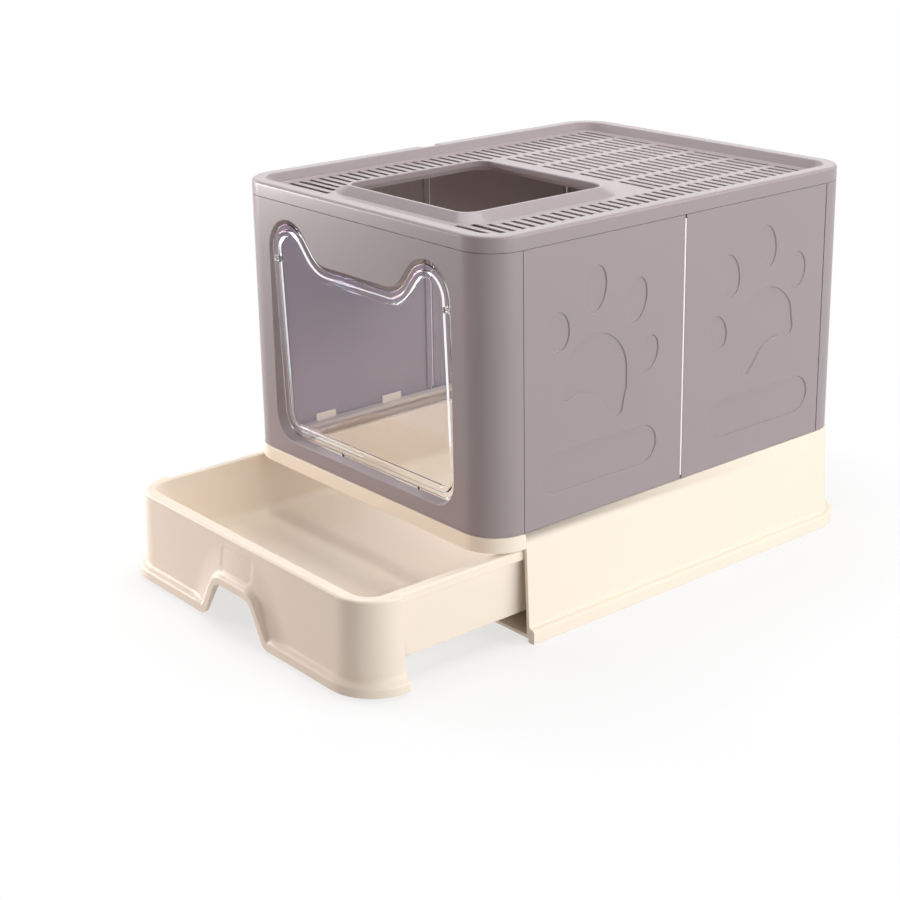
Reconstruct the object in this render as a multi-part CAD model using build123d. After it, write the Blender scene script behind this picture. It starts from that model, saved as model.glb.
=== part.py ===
from build123d import *
import math
import os

# Drawer litter box. Millimetres, +Z up, the open front faces -Y.
# Origin: on the floor, at the centre of the base's footprint.

# ---- body ----
body_width = 388.0
body_depth = 490.0
corner_radius = 38.0
base_seam = 108.0          # height of the base's top edge
cover_seam = 373.0         # height of the cover's lower edge
cover_height = 15.0
seam_gap = 0.2             # between stacked mouldings
panel_wall = 3.0
fit_gap = 0.4              # between a locating rib or tab and the panel beside it

# ---- base frame ----
base_wall = 3.5
base_step = 1.0            # base stands proud of the panels at its top edge
flare_angle = 2.4          # base walls lean out towards the floor
foot_out = 11.5            # foot flange beyond the panels
foot_height = 14.0
foot_bevel = 3.5
foot_width = 8.0
floor_bottom = 4.0
floor_wall = 3.0
shelf_wall = 4.0           # inward shelf that the panels stand on
shelf_width = 14.0
ledge_height = 15.0        # front ledge over the drawer
front_return = 40.3        # from the body's front face back to the base's side walls
runner_x = 125.0
runner_width = 12.0
runner_gap = 0.3
tab_length = 26.0
tab_wall = 2.4
tab_height = 8.0
side_tabs = (60.0, 150.0)
front_tab_x = 100.0
rib_thick = 4.0            # ribs below the floor
rib_step = 120.0

# ---- drawer ----
drawer_out = 144.0         # how far the photographed drawer is drawn out
drawer_lift = 3.0          # drawer front above the floor
drawer_drop = 2.0          # drawer rim below the ledge
skirt_wall = 3.0
skirt_gap = 1.0            # between the drawer front and the base's side walls
tray_floor = 23.0
tray_wall = 3.0
tray_fillet = 7.0          # inside, along the tray's floor
tray_bevel = 2.5           # outside, along the tray's underside
tray_front = 9.0           # tray's front wall behind the body's front face, at its top
tray_rear = 3.5            # tray's rear wall ahead of the rim's rear edge
tray_side = 184.5          # half width of the tray below its rim
tray_draft = 2.5
tray_front_slope = 28.0    # how far the tray's front wall leans back
tray_corner = 24.0
rim_side = 191.0           # half width over the rim
rim_width = 11.0
rim_wall = 3.0
rim_drop = 10.0
rim_lip = 2.5
tray_rear_gap = 6.0
arch_foot = 50.0           # half width of the finger arch at the floor
arch_top = 28.0            # half width at its crown
arch_height = 43.5
arch_round = 14.0
arch_band = 9.0
band_half = 60.0
bulge_radius = 303.0
bulge_tilt = 9.5
bulge_top = 87.5
bulge_hollow = 58.0
plaque_width = 50.0
plaque_height = 24.0
plaque_z = 69.0
plaque_depth = 0.6

# ---- panels ----
hinge_back = 39.5          # hinge seam behind the body's front face
hinge_seam = 0.8
hook_half = 3.5
hook_inset = 3.9           # hinge axis inside the panel's inner face
hook_reach = 2.0           # arms of a hook past the rod's centre
hook_back = 8.0
hook_length = 26.0
rod_radius = 1.5
rod_gap = 0.05
rod_foot = 12.0            # rod's lower end above the base seam
rod_head = 13.0            # rod's upper end below the cover seam
fold_gap = 2.2
strip_width = 1.7
strip_inset = 0.6
bead_size = 2.6
bead_gap = 0.15
bead_x = 3.8               # bead centre below the outer face
bead_y = 4.2
web_wall = 0.9
fold_rib = 3.0
fold_rib_width = 7.0
strip_foot = 4.0           # strip's lower end above the base seam
strip_head = 4.0           # strip's upper end below the cover seam
deboss = 1.2
oval_sides = 18
mark_shift = 8.5           # paw and bar sit ahead of the side panel's middle

# ---- doorway and door ----
door_side = 53.0           # doorway's side edge inside the body's side face
door_sill = 16.0           # doorway's lower edge above the base seam
door_corner = 28.0
ear_radius = 33.5
ear_clear = 17.0           # top of the ears below the cover seam
ear_slope = 50.0
valley_drop = 36.5         # valley between the ears below their top
valley_round = 30.0
jamb_depth = 14.0
jamb_wall = 3.0
door_gap = 4.0
door_wall = 2.5
axis_back = 6.5
axis_drop = 42.5           # door's pin axis below the top of the ears
door_front = 4.9           # door's front face ahead of the pin axis
bead_rise = 1.5
bead_start = 5.0
bead_end = 13.0
pane_sink = 0.8
pin_radius = 2.0
pin_root = 9.0             # length of the pin moulded along the door
pin_gap = 0.05
pin_snap = 0.8             # snap slot's width as a share of its seat
pin_end_gap = 0.4
tab_x = 60.0
door_tab_width = 36.0
door_tab_drop = 3.0
door_tilt = 2.1            # the flap hangs with its lower edge slightly inside

# ---- top cover ----
cover_bevel = 3.0
rim_top = 14.0             # width of the cover's top rim
basin_slope = 5.0
grille_sink = 9.5
grille_wall = 3.0
cover_wall = 3.0
rib_wall = 2.4
rib_drop = 8.0
slot_pitch = 12.2
slot_width = 5.0
slot_rows = 35
slot_rear = 214.0
column_pitch = 57.0
column_bar = 9.5
column_count = 3
hole_width = 185.0
hole_depth = 178.0
hole_y = -95.5
hole_corner = 15.0
collar_top = 8.0           # collar above the grille
collar_ring = 3.5
collar_side = 13.0
collar_front = 9.0
collar_lip = 6.5           # upright inner wall below the collar's crest
collar_relief = 5.0        # the opening is wider below that wall
notch_length = 22.0
notch_depth = 2.0
notch_width = 3.0

FRONT = -body_depth / 2
SIDE = body_width / 2
total_height = cover_seam + cover_height
PANEL_LOW = base_seam + seam_gap
PANEL_HIGH = cover_seam - seam_gap
rod_low = base_seam + rod_foot
rod_high = cover_seam - rod_head
strip_low = base_seam + strip_foot
strip_high = cover_seam - strip_head
door_half = SIDE - door_side
door_bottom = base_seam + door_sill
ear_top = cover_seam - ear_clear
valley_z = ear_top - valley_drop
axis_z = ear_top - axis_drop
SLOPE = math.tan(math.radians(flare_angle))
grille_z = total_height - grille_sink
ledge_bottom = base_seam - ledge_height
rim_z = ledge_bottom - drawer_drop
base_front = FRONT + front_return
skirt_rear = base_front - skirt_gap
floor_top = floor_bottom + floor_wall
FAR = 400.0


def plan(grow, z):
    """The body's rounded outline at height z, grown outwards."""
    outline = RectangleRounded(body_width + 2 * grow, body_depth + 2 * grow, corner_radius + grow)
    return Pos(0, 0, z) * outline


def prism(grow, z0, z1):
    return extrude(plan(grow, z0), z1 - z0)


def flared(grow0, z0, grow1, z1):
    return loft([plan(grow0, z0), plan(grow1, z1)], ruled=True)


def block(x0, x1, y0, y1, z0, z1):
    centre = Pos((x0 + x1) / 2, (y0 + y1) / 2, (z0 + z1) / 2)
    return centre * Box(x1 - x0, y1 - y0, z1 - z0)


def front_slab(sketch, y0, y1):
    """A sketch drawn in X and Z, made solid from y0 to y1."""
    return extrude(Plane(origin=(0, y1, 0), x_dir=(1, 0, 0), z_dir=(0, -1, 0)) * sketch, y1 - y0)


def side_slab(sketch, x0, x1):
    """A sketch drawn in Y and Z, made solid from x0 to x1."""
    return extrude(Plane(origin=(x0, 0, 0), x_dir=(0, 1, 0), z_dir=(1, 0, 0)) * sketch, x1 - x0)


def upright(x, y, z0, z1, radius):
    return Pos(x, y, (z0 + z1) / 2) * Cylinder(radius, z1 - z0)


def mirror_x(shape):
    return mirror(shape, about=Plane.YZ)


def mirror_y(shape):
    return mirror(shape, about=Plane.XZ)


def base_grow(z):
    return base_step + (base_seam - z) * SLOPE


# ---------------------------------------------------------------- base frame
def under_ribs():
    """Stiffening ribs below the base's floor, level with its foot rim."""
    ribs = block(-rib_thick / 2, rib_thick / 2, -FAR, FAR, 0, floor_bottom)
    ribs += block(-FAR, FAR, -rib_thick / 2, rib_thick / 2, 0, floor_bottom)
    for step in (-rib_step, rib_step):
        ribs += block(step - rib_thick / 2, step + rib_thick / 2, -FAR, FAR, 0, floor_bottom)
        ribs += block(-FAR, FAR, step - rib_thick / 2, step + rib_thick / 2, 0, floor_bottom)
    return ribs


def make_base():
    shelf_z = base_seam - shelf_wall
    body = flared(base_grow(0), 0, base_grow(base_seam), base_seam)
    foot = prism(foot_out, 0, foot_height)
    foot = chamfer(foot.faces().sort_by(Axis.Z)[-1].edges(), foot_bevel)
    body += foot
    body -= flared(base_grow(floor_top) - base_wall, floor_top,
                   base_grow(shelf_z) - base_wall, shelf_z)
    body -= prism(foot_out - foot_width, -1, floor_bottom) - under_ribs()
    body -= prism(base_step - shelf_width, shelf_z - 1, base_seam + 1)
    body -= block(-FAR, FAR, FRONT - 60, base_front, -1, ledge_bottom)
    # two runners that carry the drawer
    runner_top = tray_floor - runner_gap
    rear = -FRONT - tray_rear_gap - tray_wall
    runner = block(runner_x - runner_width / 2, runner_x + runner_width / 2,
                   base_front + 6, rear, floor_top - 0.5, runner_top)
    body += runner + mirror_x(runner)
    # upstanding tabs that locate the panels
    out = SIDE - panel_wall - fit_gap
    for y in side_tabs:
        tab = block(out - tab_wall, out, y - tab_length / 2, y + tab_length / 2,
                    shelf_z + 1, base_seam + tab_height)
        pair = tab + mirror_y(tab)
        body += pair + mirror_x(pair)
    edge = -FRONT - panel_wall - fit_gap
    tab = block(front_tab_x - tab_length / 2, front_tab_x + tab_length / 2,
                edge - tab_wall, edge, shelf_z + 1, base_seam + tab_height)
    pair = tab + mirror_x(tab)
    body += pair + mirror_y(pair)
    return body


# -------------------------------------------------------------------- drawer
def arch_shape(grow):
    """Finger arch in the drawer's front, drawn in X and Z."""
    foot = arch_foot
    low = drawer_lift
    shape = Polygon((-foot - 25, low - 8), (foot + 25, low - 8), (foot + 25, low), (foot, low),
                    (arch_top, arch_height), (-arch_top, arch_height), (-foot, low),
                    (-foot - 25, low), align=None)
    inner = [v for v in shape.vertices() if abs(v.X) < foot + 1]
    shape = fillet(inner, arch_round)
    if grow:
        shape = offset(shape, grow, kind=Kind.ARC)
    return shape


def bulge(sink):
    """Bowed middle of the drawer's front: a large upright cylinder that leans out downwards."""
    top = FRONT - base_grow(bulge_top)
    bow = Pos(0, bulge_radius, 0) * Cylinder(bulge_radius - sink, 2 * FAR)
    near = Pos(0, top, bulge_top) * Rot(-bulge_tilt, 0, 0) * bow
    return near & block(-FAR, FAR, FRONT - 60, FRONT + 12, drawer_lift - 2, rim_z - 1)


def tray_form(inset, z0, z1, corner):
    """Tray outline from z0 to z1, with drafted sides and a front wall that leans back."""
    under = rim_z - rim_wall

    def lean(z):
        return (under - z) / (under - tray_floor)

    def half(z):
        return tray_side - inset - tray_draft * lean(z)

    def near(z):
        return FRONT + tray_front + inset + tray_front_slope * lean(z)

    def far(z):
        return -FRONT - tray_rear_gap - tray_rear - inset - tray_draft * lean(z)

    side = Polygon((near(z0), z0), (far(z0), z0), (far(z1), z1), (near(z1), z1), align=None)
    face = Polygon((-half(z0), z0), (half(z0), z0), (half(z1), z1), (-half(z1), z1), align=None)
    form = side_slab(side, -FAR, FAR) & front_slab(face, -FAR, FAR)
    upright_edges = form.edges().filter_by(lambda e: abs(e.tangent_at(0.5).Z) > 0.7)
    return fillet(upright_edges, corner)


def make_drawer():
    low = drawer_lift
    inner = flared(base_grow(low - 1) - skirt_wall, low - 1, base_grow(rim_z + 1) - skirt_wall, rim_z + 1)
    front_zone = block(-FAR, FAR, FRONT - 60, skirt_rear, low, rim_z)
    skirt = flared(base_grow(low), low, base_grow(rim_z), rim_z)
    lip = prism(foot_out, low, foot_height)
    lip = chamfer(lip.faces().sort_by(Axis.Z)[-1].edges(), foot_bevel)
    arch = front_slab(arch_shape(0), FRONT - 40, FRONT + 12)
    band = front_slab(arch_shape(arch_band), FRONT - foot_out, FRONT)
    band = band & block(-band_half, band_half, FRONT - 60, FRONT, low, rim_z)
    front = skirt + lip + band + bulge(0)
    front = front & front_zone
    front -= inner
    front -= bulge(skirt_wall) & block(-bulge_hollow, bulge_hollow, FRONT - 60, FRONT + 20,
                                       0, rim_z - rim_wall - 2)
    front -= arch
    # shallow plaque, left bare
    frame = front_slab(Pos(0, plaque_z) * RectangleRounded(plaque_width, plaque_height, 4),
                       FRONT - 40, FRONT + 2)
    front -= frame - bulge(plaque_depth)
    # tray under the rim
    under = rim_z - rim_wall
    tray = tray_form(0, tray_floor, under + 1, tray_corner)
    tray = chamfer(tray.faces().sort_by(Axis.Z)[0].edges(), tray_bevel)
    well = tray_form(tray_wall, tray_floor + tray_wall, rim_z + 1, tray_corner - tray_wall)
    well = chamfer(well.faces().sort_by(Axis.Z)[0].edges(), tray_fillet)
    # rim
    rim_rear = -FRONT - tray_rear_gap
    rim_front = FRONT - base_grow(rim_z)
    outline = RectangleRounded(2 * rim_side, rim_rear - rim_front, corner_radius - 2)
    edge = RectangleRounded(2 * (rim_side - rim_lip), rim_rear - rim_front - 2 * rim_lip,
                            corner_radius - 2 - rim_lip)
    middle = Pos(0, (rim_rear + rim_front) / 2)
    rim = extrude(middle * Pos(0, 0, under) * outline, rim_wall)
    turned = extrude(middle * Pos(0, 0, rim_z - rim_drop) * (outline - edge), rim_drop)
    turned &= block(-FAR, FAR, skirt_rear - 8, FAR, 0, rim_z)
    cap = flared(base_grow(under), under, base_grow(rim_z), rim_z) & front_zone
    drawer = front + tray + rim + turned + cap
    drawer -= well
    return Pos(0, -drawer_out, 0) * drawer


# ------------------------------------------------------------- door outline
def doorway(grow):
    """Doorway with two pointed ears, drawn in X and Z; grow moves its edge outwards."""
    rise = math.radians(ear_slope)
    cx = door_half - ear_radius
    cz = ear_top - ear_radius
    along = (math.cos(rise), math.sin(rise))
    normal = (-along[1], along[0])
    # slope line tangent to the ear, met by the valley line
    touch = (cx + ear_radius * normal[0], cz + ear_radius * normal[1])
    meet_x = touch[0] - (touch[1] - valley_z) / math.tan(rise)
    vx = meet_x - valley_round * math.tan(rise / 2)
    vz = valley_z + valley_round
    er = ear_radius + grow
    vr = valley_round - grow
    br = door_corner + grow
    bx = door_half - door_corner
    bz = door_bottom + door_corner
    p_valley = (vx, vz - vr)
    p_rise = (vx - vr * normal[0], vz - vr * normal[1])
    half = rise / 2
    p_valley_mid = (vx + vr * math.sin(half), vz - vr * math.cos(half))
    p_ear = (cx + er * normal[0], cz + er * normal[1])
    mid = math.radians((90 + ear_slope) / 2)
    p_ear_mid = (cx + er * math.cos(mid), cz + er * math.sin(mid))
    p_side = (cx + er, cz)
    p_low = (bx + br, bz)
    q = math.sqrt(0.5)
    p_low_mid = (bx + br * q, bz - br * q)
    p_bottom = (bx, bz - br)
    right = Polyline((0, vz - vr), p_valley)
    right += ThreePointArc(p_valley, p_valley_mid, p_rise)
    right += Line(p_rise, p_ear)
    right += ThreePointArc(p_ear, p_ear_mid, p_side)
    right += Line(p_side, p_low)
    right += ThreePointArc(p_low, p_low_mid, p_bottom)
    right += Line(p_bottom, (0, bz - br))
    left = mirror(right, about=Plane.YZ)
    return make_face(right + left)


# -------------------------------------------------------------- hinge parts
hinge_x = SIDE - panel_wall - hook_inset
hinge_y = FRONT + hinge_back
AXIS_Y = FRONT + axis_back


def hook(z0, z1, toward):
    """Hook on the right front hinge; toward -1 grows from the front panel, +1 from the side panel."""
    back = hinge_y + toward * hook_back
    arm = hinge_y - toward * hook_reach
    seam = hinge_y + toward * hinge_seam
    body = block(hinge_x - hook_half, hinge_x + hook_half, min(back, arm), max(back, arm), z0, z1)
    body += block(hinge_x, SIDE - panel_wall + 0.5, min(back, seam), max(back, seam), z0, z1)
    seat = rod_radius + rod_gap
    deep = hinge_y + toward * seat
    mouth = block(hinge_x - seat, hinge_x + seat,
                  min(deep, arm - toward), max(deep, arm - toward), z0 - 1, z1 + 1)
    return body - mouth


corner_low = (rod_low, rod_low + hook_length)
corner_high = (rod_high - hook_length, rod_high)
middle_z = (rod_low + rod_high) / 2
corner_mid = (middle_z - hook_length / 2, middle_z + hook_length / 2)


def end_panel():
    """Panel that wraps both corners back to the hinge seams."""
    shell = prism(0, PANEL_LOW, PANEL_HIGH) - prism(-panel_wall, PANEL_LOW - 1, PANEL_HIGH + 1)
    shell = shell & block(-FAR, FAR, FRONT - 10, hinge_y - hinge_seam / 2, 0, FAR)
    for z0, z1 in (corner_low, corner_high):
        lug = hook(z0, z1, -1)
        shell += lug + mirror_x(lug)
    return shell


def make_front_panel():
    panel = end_panel()
    jamb = front_slab(doorway(jamb_wall), FRONT + panel_wall - 1, FRONT + jamb_depth)
    panel += jamb
    panel -= front_slab(doorway(0), FRONT - 1, FRONT + jamb_depth + 1)
    seat = pin_radius + pin_gap
    wide = door_half + jamb_wall + 2
    panel -= Pos(0, AXIS_Y, axis_z) * Rot(0, 90, 0) * Cylinder(seat, 2 * wide)
    # the pins snap in from the inside through slots a little narrower than the pins
    panel -= block(-wide, wide, AXIS_Y, FRONT + jamb_depth + 1,
                   axis_z - pin_snap * seat, axis_z + pin_snap * seat)
    return panel


# ------------------------------------------------------------- side panels
def oval(a, b):
    """Oval toe mark with half axes a and b, in short chords because it repeats on every panel."""
    turns = [2 * math.pi * k / oval_sides for k in range(oval_sides)]
    return Polygon(*[(a * math.cos(t), b * math.sin(t)) for t in turns], align=None)


def lobe(cx, cz, radius, start, sweep):
    """Points along one rounded corner of the pad mark, in degrees."""
    count = max(2, round(abs(sweep) * oval_sides / 360))
    steps = [math.radians(start + sweep * k / count) for k in range(count + 1)]
    return [(cx + radius * math.cos(t), cz + radius * math.sin(t)) for t in steps]


def paw():
    """Paw print and bar of the right front panel, drawn in Y and Z.

    Every length is in hundredths of the panel's height, from the paw's middle and the base seam.
    """
    toes = (
        (-19.62, 68.83, 5.09, 7.02, 4.0),
        (-2.26, 80.87, 5.09, 8.23, -10.0),
        (17.74, 73.21, 4.91, 8.15, -14.0),
        (23.96, 52.45, 4.72, 6.64, -20.0),
    )
    shape = None
    for y, z, a, b, turn in toes:
        toe = Pos(y, z) * Rot(0, 0, turn) * oval(a, b)
        shape = toe if shape is None else shape + toe
    # pad, anticlockwise: left lobe, hollow underside, right lobe, crown
    pad = lobe(-15.47, 46.79, 3.02, 170, 95)
    pad += lobe(-9.81, 30.49, 14.34, 108, -78)
    pad += lobe(7.74, 39.43, 5.47, -160, 160)
    pad += lobe(-2.64, 49.06, 15.85, 0, 154)
    shape += Polygon(*pad, align=None)
    # bar with round ends
    ends = lobe(21.23, 18.49, 7.26, -90, 180) + lobe(-21.23, 18.49, 7.26, 90, 180)
    shape += Polygon(*ends, align=None)
    middle = hinge_y / 2 - mark_shift
    return Pos(middle, base_seam) * scale(shape, (cover_seam - base_seam) / 100)


def make_side_panel():
    """Right front side panel."""
    y0 = hinge_y + hinge_seam / 2
    y1 = -fold_gap / 2
    inner = SIDE - panel_wall
    panel = block(inner, SIDE, y0, y1, PANEL_LOW, PANEL_HIGH)
    panel += block(inner - fold_rib, inner + 0.5, y1 - fold_rib_width, y1, strip_low, rod_high)
    panel += hook(corner_mid[0], corner_mid[1], 1)
    half = bead_size / 2 + bead_gap
    panel -= block(SIDE - bead_x - half, SIDE - bead_x + half, -bead_y - half, -bead_y + half,
                   strip_low - 1, rod_high + 1)
    panel -= block(SIDE - bead_x - web_wall / 2 - bead_gap, SIDE - bead_x + web_wall / 2 + bead_gap,
                   -bead_y, 1, strip_low - 1, rod_high + 1)
    panel -= side_slab(paw(), SIDE - deboss, SIDE + 1)
    return panel


def make_strip():
    """Right fold strip: a bar that fills the fold gap, with a web and bead each side."""
    bar = block(SIDE - bead_x - 0.8, SIDE - strip_inset, -strip_width / 2, strip_width / 2,
                strip_low, rod_high)
    bar += block(SIDE - panel_wall + 0.2, SIDE - strip_inset, -strip_width / 2, strip_width / 2,
                 strip_low, strip_high)
    web = block(SIDE - bead_x - web_wall / 2, SIDE - bead_x + web_wall / 2, -bead_y, bead_y,
                strip_low, rod_high)
    half = bead_size / 2
    bead = block(SIDE - bead_x - half, SIDE - bead_x + half, bead_y - half, bead_y + half,
                 strip_low, rod_high)
    return bar + web + bead + mirror_y(bead)


def make_rod():
    return upright(hinge_x, hinge_y, rod_low, rod_high, rod_radius)


# --------------------------------------------------------------------- door
def make_door():
    edge = -door_gap
    plate = front_slab(doorway(edge), AXIS_Y - door_front, AXIS_Y - door_front + door_wall)
    ring = doorway(edge - bead_start) - doorway(edge - bead_end)
    plate += front_slab(ring, AXIS_Y - door_front - bead_rise, AXIS_Y - door_front + 0.5)
    plate -= front_slab(doorway(edge - bead_end), AXIS_Y - door_front - 1,
                        AXIS_Y - door_front + pane_sink)
    bottom = door_bottom + door_gap
    tab = block(tab_x - door_tab_width / 2, tab_x + door_tab_width / 2,
                AXIS_Y - door_front, AXIS_Y - door_front + door_wall,
                bottom - door_tab_drop, bottom + 1)
    plate += tab + mirror_x(tab)
    turn = Pos(0, AXIS_Y, axis_z) * Rot(0, 90, 0)
    start = door_half - door_gap - pin_root
    tip = door_half + jamb_wall - pin_end_gap
    side = turn * Pos(0, 0, (start + tip) / 2) * Cylinder(pin_radius, tip - start)
    side += block(start, door_half - door_gap, AXIS_Y - door_front + 0.5, AXIS_Y + pin_radius + 1,
                  axis_z - pin_radius - 1, axis_z + pin_radius + 1)
    plate += side + mirror_x(side)
    return plate.rotate(Axis((0, AXIS_Y, axis_z), (1, 0, 0)), door_tilt)


# --------------------------------------------------------------- top cover
def hole_plan(grow, z):
    outline = RectangleRounded(hole_width + 2 * grow, hole_depth + 2 * grow, hole_corner + grow)
    return Pos(0, hole_y, z) * outline


def collar_plan(inset, z):
    width = hole_width + 2 * (collar_ring + collar_side - inset)
    depth = hole_depth + 2 * collar_ring + collar_front + collar_side - 2 * inset
    outline = RectangleRounded(width, depth, hole_corner + collar_ring + collar_front - inset)
    return Pos(0, hole_y + (collar_side - collar_front) / 2, z) * outline


def slots():
    """Rows of slots in six columns; the hole takes the place of the inner columns at the front."""
    cut = []
    collar_rear = hole_y + hole_depth / 2 + collar_ring + collar_side
    outer_end = column_count * column_pitch - column_bar / 2 + 0.5
    for row in range(slot_rows):
        y = slot_rear - row * slot_pitch
        for column in range(column_count):
            x0 = column * column_pitch + column_bar / 2
            x1 = (column + 1) * column_pitch - column_bar / 2
            if column < column_count - 1 and y < collar_rear + 2 * slot_pitch:
                continue
            if column == column_count - 1:
                # the front rows reach in round the collar's corners
                near = slot_rows - 1 - row
                x0 -= max(0.0, 21.0 - 8.0 * near)
                x1 = outer_end
            cut.append(Pos((x0 + x1) / 2, y, grille_z - grille_wall / 2)
                       * Box(x1 - x0, slot_width, grille_wall + 2))
    return cut


def make_cover():
    under = grille_z - grille_wall
    top_cavity = total_height - cover_wall
    cover = prism(0, cover_seam, total_height)
    cover = chamfer(cover.faces().sort_by(Axis.Z)[-1].edges(), cover_bevel)
    # notch at mid-length of the left rim
    cover -= block(-SIDE - 1, notch_width - SIDE, -notch_length / 2, notch_length / 2,
                   total_height - notch_depth, total_height + 1)
    basin = loft([plan(-rim_top - basin_slope, grille_z), plan(-rim_top, total_height + 0.001)], ruled=True)
    cover -= basin
    # hollow below the rim and below the grille
    hollow = prism(-cover_wall, under - 0.5, top_cavity)
    hollow -= prism(cover_wall - rim_top - basin_slope / 2, under - 1, total_height)
    cover -= prism(-cover_wall, cover_seam - 1, under)
    cover -= hollow
    # locating rib inside the panels
    reach_x = SIDE - panel_wall - fit_gap
    reach_y = -FRONT - panel_wall - fit_gap
    free = corner_radius + 2
    rib = block(reach_x - rib_wall, reach_x, -reach_y + free, reach_y - free,
                cover_seam - rib_drop, top_cavity + 0.5)
    cover += rib + mirror_x(rib)
    rib = block(-reach_x + free, reach_x - free, reach_y - rib_wall, reach_y,
                cover_seam - rib_drop, top_cavity + 0.5)
    cover += rib + mirror_y(rib)
    # collar round the top hole
    peak = grille_z + collar_top
    collar = loft([collar_plan(0, grille_z - 0.5), hole_plan(collar_ring, peak)], ruled=True)
    cover += collar
    cover -= extrude(hole_plan(0, under - 20), 60)
    cover -= extrude(hole_plan(collar_relief, under - 20), 20 + peak - collar_lip - under)
    right = slots()
    cover -= right
    cover -= [mirror_x(s) for s in right]
    return cover


# ------------------------------------------------------------------- export
side = make_side_panel()
rear_side = mirror_y(side)
strip = make_strip()
rod = make_rod()
parts = {
    "base_frame": make_base(),
    "litter_drawer": make_drawer(),
    "front_panel": make_front_panel(),
    "rear_panel": mirror_y(end_panel()),
    "right_front_side_panel": side,
    "right_rear_side_panel": rear_side,
    "left_front_side_panel": mirror_x(side),
    "left_rear_side_panel": mirror_x(rear_side),
    "right_fold_strip": strip,
    "left_fold_strip": mirror_x(strip),
    "front_right_hinge_rod": rod,
    "front_left_hinge_rod": mirror_x(rod),
    "rear_right_hinge_rod": mirror_y(rod),
    "rear_left_hinge_rod": mirror_x(mirror_y(rod)),
    "top_cover": make_cover(),
    "entry_door": make_door(),
}

os.makedirs("parts", exist_ok=True)
for name, shape in parts.items():
    export_step(shape, "parts/" + name + ".step")
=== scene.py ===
import math

import bmesh
import bpy
from mathutils import Matrix, Vector
from mathutils.geometry import tessellate_polygon


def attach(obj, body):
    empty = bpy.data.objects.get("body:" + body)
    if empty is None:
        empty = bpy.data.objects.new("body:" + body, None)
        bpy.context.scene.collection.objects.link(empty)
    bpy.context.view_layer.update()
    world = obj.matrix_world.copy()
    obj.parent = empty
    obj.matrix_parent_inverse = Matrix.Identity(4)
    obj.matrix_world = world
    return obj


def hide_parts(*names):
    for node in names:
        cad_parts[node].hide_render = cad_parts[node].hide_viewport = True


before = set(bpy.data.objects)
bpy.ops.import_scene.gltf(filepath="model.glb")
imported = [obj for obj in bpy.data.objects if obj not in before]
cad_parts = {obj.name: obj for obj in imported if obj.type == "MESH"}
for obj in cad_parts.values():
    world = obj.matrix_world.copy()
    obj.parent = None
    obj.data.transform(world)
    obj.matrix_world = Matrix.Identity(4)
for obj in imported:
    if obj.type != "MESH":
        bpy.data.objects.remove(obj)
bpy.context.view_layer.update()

bl_info = {
    "name": "Drawer litter box",
    "version": (1, 0, 0),
    "blender": (4, 5, 0),
    "location": "View3D > Sidebar > Litter box",
    "description": "Builds the dressed model of an enclosed litter box with a slide-out drawer",
    "category": "Object",
}

MM = 0.001
# body in millimetres: front and right face, corners, seams, panel wall and the gap at the seams
FRONT = -245.0
SIDE = 194.0
CORNER = 38.0
CORNER_X = SIDE - CORNER
CORNER_Y = -FRONT - CORNER
BASE_SEAM = 108.0
COVER_SEAM = 373.0
COVER_TOP = 388.0
WALL = 3.0
SEAM_GAP = 0.2
# front right hinge: rod's axis, rod's foot, and half the seam in front of it
HINGE_X = 187.1
HINGE_Y = -205.5
ROD_FOOT = 120.0
HALF_SEAM = 0.4
# lower end of the fold strips, and upper end of what stands inside the panels
STRIP_FOOT = 112.0
INSIDE_TOP = 360.0
# ribs of the cover and tabs of the base: behind the side panels and behind the end panels
TABS_X = (188.2, 190.6)
TABS_Y = (239.2, 241.6)
# base: ledge, wall and foot lip; where its open front ends, and where the drawer's front ends
LEDGE_FOOT = 93.0
LEDGE_UNDER = 104.0
BASE_WALL = 3.5
LIP_TOP = 14.0
LIP_REACH = 11.5
BASE_START = -204.7
FRONT_END = -205.75
# drawer front: foot, half the arch's width, its crown and half the bowed middle's width
DRAWER_FOOT = 3.0
ARCH_HALF = 50.0
ARCH_CROWN = 43.5
BOW_HALF = 100.0
# cover plate, and half the length of the notch in the rim
PLATE_TOP = 378.5
PLATE_FOOT = 375.5
NOTCH_HALF = 11.0
# pivot axis of the door
AXIS_Y = -238.5
AXIS_Z = 313.5
# strengths of the white room and floor, by what they do
ROOM_MIRRORED = 0.9
FLOOR_MIRRORED = 1.0
FLOOR_ROUGH = 0.61


# ---------- settings
class BoxSizes(bpy.types.PropertyGroup):
    """Small shape settings of the mouldings, in metres"""

    edge_round: bpy.props.FloatProperty(
        name="Edge rounding", description="Radius of the panels' edges", default=0.0006, unit="LENGTH")
    rim_round: bpy.props.FloatProperty(
        name="Rim rounding", description="Radius of the cover's outer top edge",
        default=0.0032, unit="LENGTH")
    lip_round: bpy.props.FloatProperty(
        name="Lip rounding", description="Radius of the foot lips' top edge", default=0.0036, unit="LENGTH")
    mark_depth: bpy.props.FloatProperty(
        name="Mark depth", description="Depth of the paw and bar marks", default=0.0015, unit="LENGTH")
    drawer_out: bpy.props.FloatProperty(
        name="Drawer out", description="How far the drawer is drawn out", default=0.144, unit="LENGTH")
    door_tilt: bpy.props.FloatProperty(
        name="Door tilt", description="Hang of the flap door, lower edge inwards",
        default=math.radians(2.1), subtype="ANGLE")


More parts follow.
